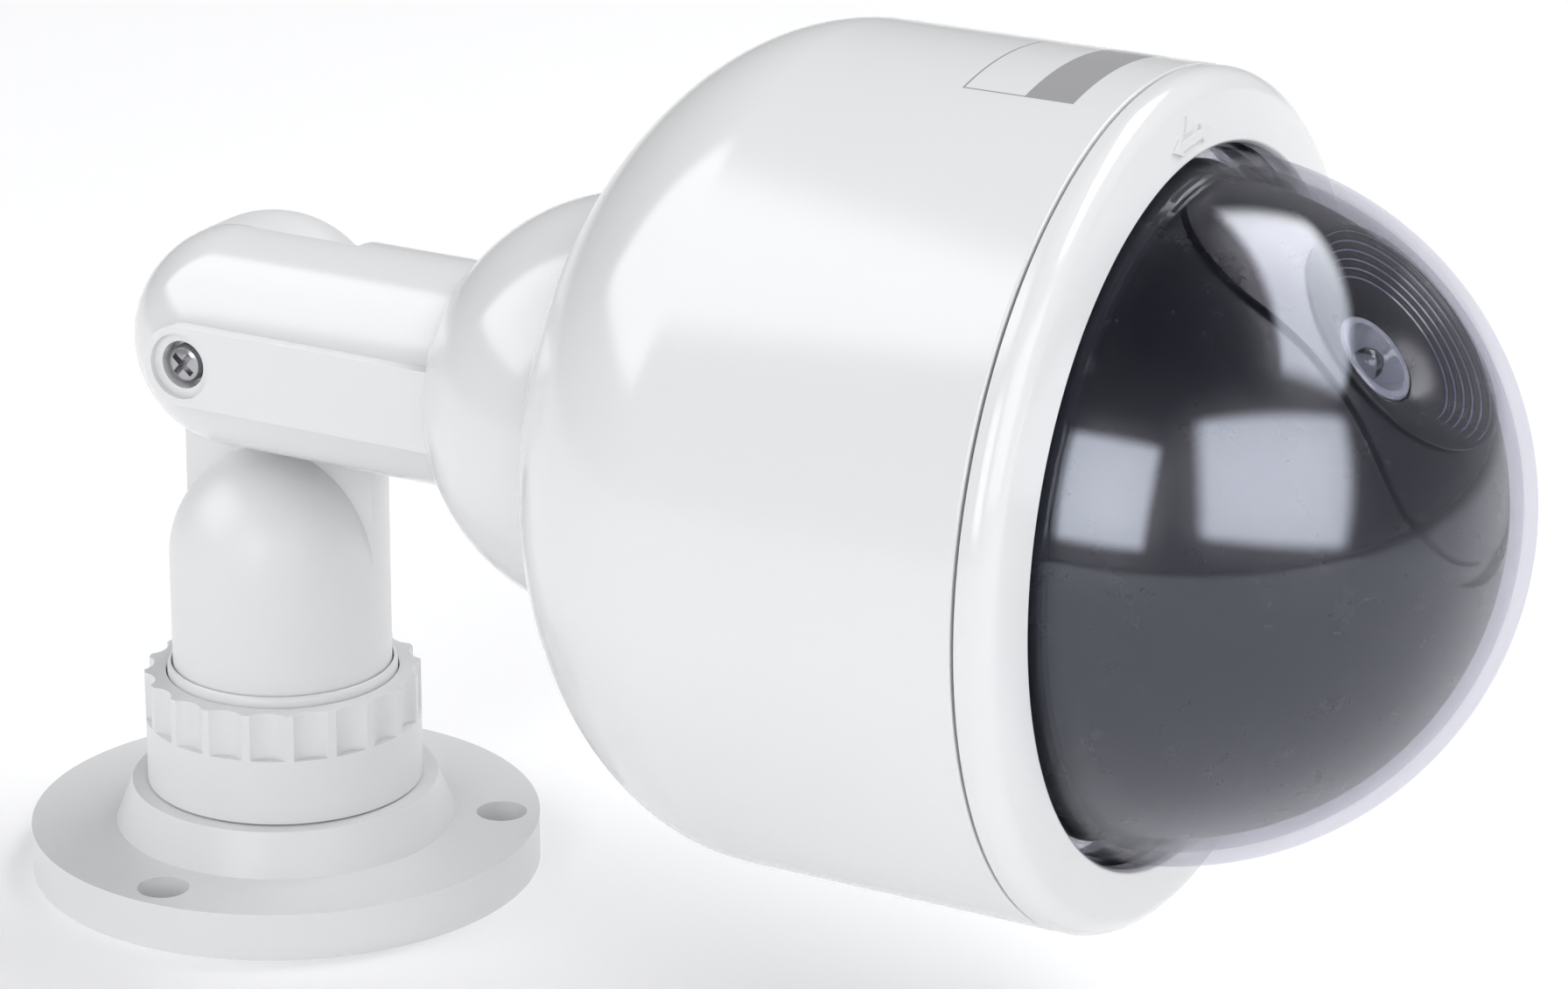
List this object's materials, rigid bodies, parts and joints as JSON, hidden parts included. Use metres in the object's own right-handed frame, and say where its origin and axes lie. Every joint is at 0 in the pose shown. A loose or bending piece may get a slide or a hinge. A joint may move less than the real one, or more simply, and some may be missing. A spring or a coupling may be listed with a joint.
{
  "type": "dome camera on knuckle bracket",
  "caption": "Round camera housing with a clear dome over a dark inner shell, on a hinged arm and a turning stem that stands on a round base plate with a knurled lock nut.",
  "frame": {"origin": "centre of the base plate's underside", "axes": "+Z along the stem, away from the wall; +X along the arm towards the dome; the arm's hinge runs along Y with its screw head on the -Y side"},
  "size_m": [0.2757, 0.1382, 0.169],
  "materials": {
    "white_shell": "satin white moulding",
    "grey_plastic": "matt grey moulding",
    "steel": "bright zinc plate",
    "dark_plastic": "fine grain",
    "clear_plastic": "clear, faint lavender tint",
    "nylon": "natural nylon",
    "rubber": "matt",
    "board": "solder mask",
    "cell": "plain printed sleeve"
  },
  "bodies": {
    "base": {"base_flange": "white_shell", "retainer_plate": "grey_plastic", "retainer_screw_1": "steel", "retainer_screw_2": "steel", "retainer_screw_3": "steel", "thrust_washer": "nylon"},
    "clamp": {"clamp_ring": "white_shell"},
    "nut": {"lock_nut": "white_shell"},
    "stem": {"stem_knuckle": "white_shell", "friction_washer": "nylon", "pivot_nut": "steel", "pivot_cap": "white_shell"},
    "washer": {"pivot_washer": "steel"},
    "screw": {"pivot_screw": "steel"},
    "bezel": {"bezel_ring": "white_shell", "bezel_seal": "rubber", "dome_gasket": "rubber", "clear_dome": "clear_plastic", "dome_retainer": "grey_plastic"},
    "lid": {"battery_lid": "grey_plastic"},
    "knob": {"switch_knob": "dark_plastic"},
    "head": {"arm_knuckle": "white_shell", "neck_screw_1": "steel", "neck_screw_2": "steel", "neck_screw_3": "steel", "housing_shell": "white_shell", "inner_shell": "dark_plastic", "shell_screw_1": "steel", "shell_screw_2": "steel", "shell_screw_3": "steel", "lens_surround": "dark_plastic", "lens_cup": "clear_plastic", "led": "clear_plastic", "led_holder": "grey_plastic", "chassis_plate": "grey_plastic", "chassis_screw_1": "steel", "chassis_screw_2": "steel", "chassis_screw_3": "steel", "board_screw_1": "steel", "board_screw_2": "steel", "battery_box_screw_1": "steel", "battery_box_screw_2": "steel", "circuit_board": "board", "driver_chip": "dark_plastic", "capacitor": "dark_plastic", "slide_switch": "grey_plastic", "battery_box": "grey_plastic", "lid_hinge_pin": "steel", "battery_cell_1": "cell", "battery_cell_2": "cell", "contact_plate_1": "steel", "contact_plate_2": "steel", "contact_spring_1": "steel", "contact_spring_2": "steel"}
  },
  "joints": [
    {"name": "pan", "type": "hinge", "parent": "base", "child": "stem", "pos_m": [0, 0, 0], "axis": [0, 0, 1], "continuous": true},
    {"name": "clamp_lift", "type": "slide", "parent": "base", "child": "clamp", "axis": [0, 0, 1], "range_m": [0, 0.0015]},
    {"name": "nut_turn", "type": "hinge", "parent": "clamp", "child": "nut", "pos_m": [0, 0, 0], "axis": [0, 0, 1], "range_deg": [0, 216.2]},
    {"name": "tilt", "type": "hinge", "parent": "stem", "child": "head", "pos_m": [0, -0.008, 0.1], "axis": [0, 1, 0], "range_deg": [-190, 10]},
    {"name": "screw_travel", "type": "slide", "parent": "stem", "child": "washer", "axis": [0, -1, 0], "range_m": [0, 0.0007]},
    {"name": "screw_turn", "type": "hinge", "parent": "washer", "child": "screw", "pos_m": [0, -0.008, 0.1], "axis": [0, -1, 0], "range_deg": [0, 360.4]},
    {"name": "bezel_twist", "type": "hinge", "parent": "head", "child": "bezel", "pos_m": [0.17, -0.008, 0.1], "axis": [1, 0, 0], "range_deg": [0, 30]},
    {"name": "lid_swing", "type": "hinge", "parent": "head", "child": "lid", "pos_m": [0.1562, -0.008, 0.0602], "axis": [0, 1, 0], "range_deg": [0, 70]},
    {"name": "switch_slide", "type": "slide", "parent": "head", "child": "knob", "axis": [0, 0, 1], "range_m": [0, 0.003]}
  ],
  "couplings": [
    {"joint": "nut_turn", "follows": "clamp_lift", "rad_per_m": 2513.3},
    {"joint": "screw_turn", "follows": "screw_travel", "rad_per_m": 8976}
  ]
}
